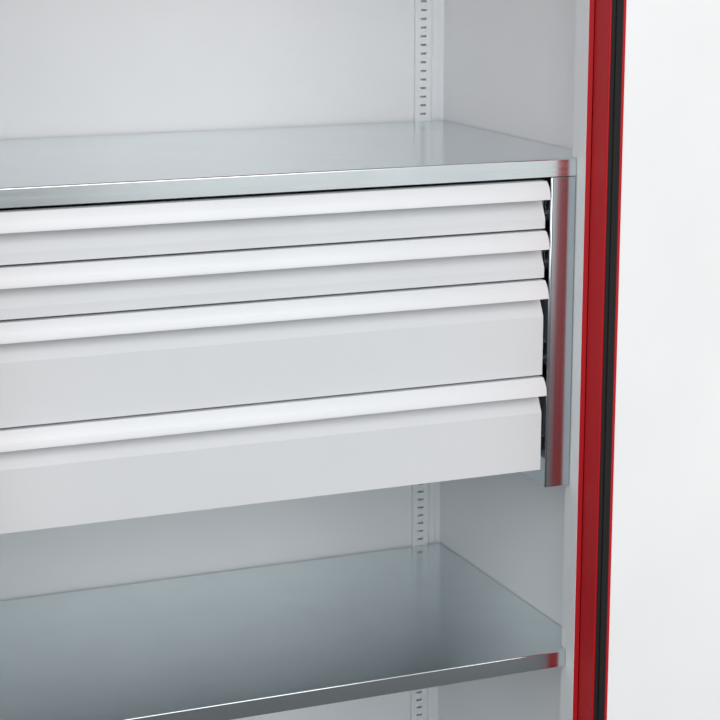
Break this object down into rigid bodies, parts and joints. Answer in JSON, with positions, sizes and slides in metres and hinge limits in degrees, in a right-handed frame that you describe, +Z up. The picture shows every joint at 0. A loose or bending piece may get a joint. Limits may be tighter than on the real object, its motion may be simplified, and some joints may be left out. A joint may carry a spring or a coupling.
{
  "type": "heavy-duty storage cabinet",
  "caption": "Tall red steel cabinet with two sealed swing doors, galvanised shelves and a block of full-width drawers on telescopic runners.",
  "frame": {"origin": "floor level, under the middle of the cabinet with its doors open", "axes": "+Z up, -Y towards the user, +X to the user's right"},
  "size_m": [2.019, 0.6536, 2],
  "materials": {
    "ruby_red_powder_coat": "satin powder coat",
    "light_grey_powder_coat": "satin powder coat",
    "pale_grey_powder_coat": "satin powder coat",
    "drawer_grey_powder_coat": "satin powder coat",
    "galvanised_sheet": "smooth galvanised",
    "zinc_plated_steel": "zinc plated",
    "black_rubber_seal": "matt rubber",
    "nylon_bush": "moulded",
    "black_plastic": "fine grain",
    "chromed_brass": "polished"
  },
  "bodies": {
    "cabinet": {"base_plinth": "ruby_red_powder_coat", "cabinet_floor": "galvanised_sheet", "top_cap": "ruby_red_powder_coat", "left_side_panel": "ruby_red_powder_coat", "right_side_panel": "ruby_red_powder_coat", "side_liners": "light_grey_powder_coat", "back_panel": "ruby_red_powder_coat", "back_liner": "light_grey_powder_coat", "left_front_post": "ruby_red_powder_coat", "right_front_post": "ruby_red_powder_coat", "post_liners": "light_grey_powder_coat", "header_rail": "ruby_red_powder_coat", "sill_rail": "ruby_red_powder_coat", "rear_uprights": "light_grey_powder_coat", "front_uprights": "light_grey_powder_coat", "upper_shelf": "galvanised_sheet", "lower_shelf": "galvanised_sheet", "shelf_clips": "zinc_plated_steel", "left_housing_side": "galvanised_sheet", "right_housing_side": "galvanised_sheet", "housing_back": "galvanised_sheet", "housing_brackets": "zinc_plated_steel", "outer_runners": "zinc_plated_steel", "pivot_pins": "zinc_plated_steel"},
    "left_door": {"left_door_skin": "ruby_red_powder_coat", "left_door_panel": "pale_grey_powder_coat", "left_door_seal": "black_rubber_seal", "left_door_bushes": "nylon_bush", "closing_strip": "ruby_red_powder_coat"},
    "right_door": {"right_door_skin": "ruby_red_powder_coat", "right_door_panel": "pale_grey_powder_coat", "right_door_seal": "black_rubber_seal", "right_door_bushes": "nylon_bush", "lock_plate": "black_plastic", "rod_guides": "zinc_plated_steel"},
    "lock_lever": {"lock_handle": "black_plastic", "lock_cam": "zinc_plated_steel"},
    "upper_rod": {"upper_lock_rod": "zinc_plated_steel"},
    "lower_rod": {"lower_lock_rod": "zinc_plated_steel"},
    "key_plug": {"lock_cylinder": "chromed_brass"},
    "drawer_1": {"drawer_tray_1": "drawer_grey_powder_coat", "drawer_front_1": "drawer_grey_powder_coat", "drawer_handle_1": "drawer_grey_powder_coat", "inner_runners_1": "zinc_plated_steel"},
    "runner_1": {"middle_runners_1": "zinc_plated_steel"},
    "drawer_2": {"drawer_tray_2": "drawer_grey_powder_coat", "drawer_front_2": "drawer_grey_powder_coat", "drawer_handle_2": "drawer_grey_powder_coat", "inner_runners_2": "zinc_plated_steel"},
    "runner_2": {"middle_runners_2": "zinc_plated_steel"},
    "drawer_3": {"drawer_tray_3": "drawer_grey_powder_coat", "drawer_front_3": "drawer_grey_powder_coat", "drawer_handle_3": "drawer_grey_powder_coat", "inner_runners_3": "zinc_plated_steel"},
    "runner_3": {"middle_runners_3": "zinc_plated_steel"},
    "drawer_4": {"drawer_tray_4": "drawer_grey_powder_coat", "drawer_front_4": "drawer_grey_powder_coat", "drawer_handle_4": "drawer_grey_powder_coat", "inner_runners_4": "zinc_plated_steel"},
    "runner_4": {"middle_runners_4": "zinc_plated_steel"}
  },
  "joints": [
    {"name": "right_door_hinge", "type": "hinge", "parent": "cabinet", "child": "right_door", "pos_m": [0.502, -0.29975, 0.103], "axis": [0, 0, 1], "range_deg": [-180, 0]},
    {"name": "left_door_hinge", "type": "hinge", "parent": "cabinet", "child": "left_door", "pos_m": [-0.502, -0.29975, 0.103], "axis": [0, 0, -1], "range_deg": [-180, 0]},
    {"name": "drawer_1_slide", "type": "slide", "parent": "cabinet", "child": "drawer_1", "axis": [0, -1, 0], "range_m": [0, 0.46]},
    {"name": "runner_1_slide", "type": "slide", "parent": "cabinet", "child": "runner_1", "axis": [0, -1, 0], "range_m": [0, 0.23]},
    {"name": "drawer_2_slide", "type": "slide", "parent": "cabinet", "child": "drawer_2", "axis": [0, -1, 0], "range_m": [0, 0.46]},
    {"name": "runner_2_slide", "type": "slide", "parent": "cabinet", "child": "runner_2", "axis": [0, -1, 0], "range_m": [0, 0.23]},
    {"name": "drawer_3_slide", "type": "slide", "parent": "cabinet", "child": "drawer_3", "axis": [0, -1, 0], "range_m": [0, 0.46]},
    {"name": "runner_3_slide", "type": "slide", "parent": "cabinet", "child": "runner_3", "axis": [0, -1, 0], "range_m": [0, 0.23]},
    {"name": "drawer_4_slide", "type": "slide", "parent": "cabinet", "child": "drawer_4", "axis": [0, -1, 0], "range_m": [0, 0.46]},
    {"name": "runner_4_slide", "type": "slide", "parent": "cabinet", "child": "runner_4", "axis": [0, -1, 0], "range_m": [0, 0.23]},
    {"name": "lock_turn", "type": "hinge", "parent": "right_door", "child": "lock_lever", "pos_m": [0.9405, -0.27675, 1.02], "axis": [0, -1, 0], "range_deg": [0, 90]},
    {"name": "upper_rod_slide", "type": "slide", "parent": "right_door", "child": "upper_rod", "axis": [0, 0, 1], "range_m": [0, 0.0198]},
    {"name": "lower_rod_slide", "type": "slide", "parent": "right_door", "child": "lower_rod", "axis": [0, 0, -1], "range_m": [0, 0.0198]},
    {"name": "key_turn", "type": "hinge", "parent": "right_door", "child": "key_plug", "pos_m": [0.9405, -0.27675, 1.068], "axis": [0, -1, 0], "range_deg": [0, 90]}
  ],
  "couplings": [
    {"joint": "runner_1_slide", "follows": "drawer_1_slide", "ratio": 0.5},
    {"joint": "runner_2_slide", "follows": "drawer_2_slide", "ratio": 0.5},
    {"joint": "runner_3_slide", "follows": "drawer_3_slide", "ratio": 0.5},
    {"joint": "runner_4_slide", "follows": "drawer_4_slide", "ratio": 0.5},
    {"joint": "lower_rod_slide", "follows": "upper_rod_slide", "ratio": 1},
    {"joint": "lock_turn", "follows": "upper_rod_slide", "rad_per_m": 79.337}
  ]
}
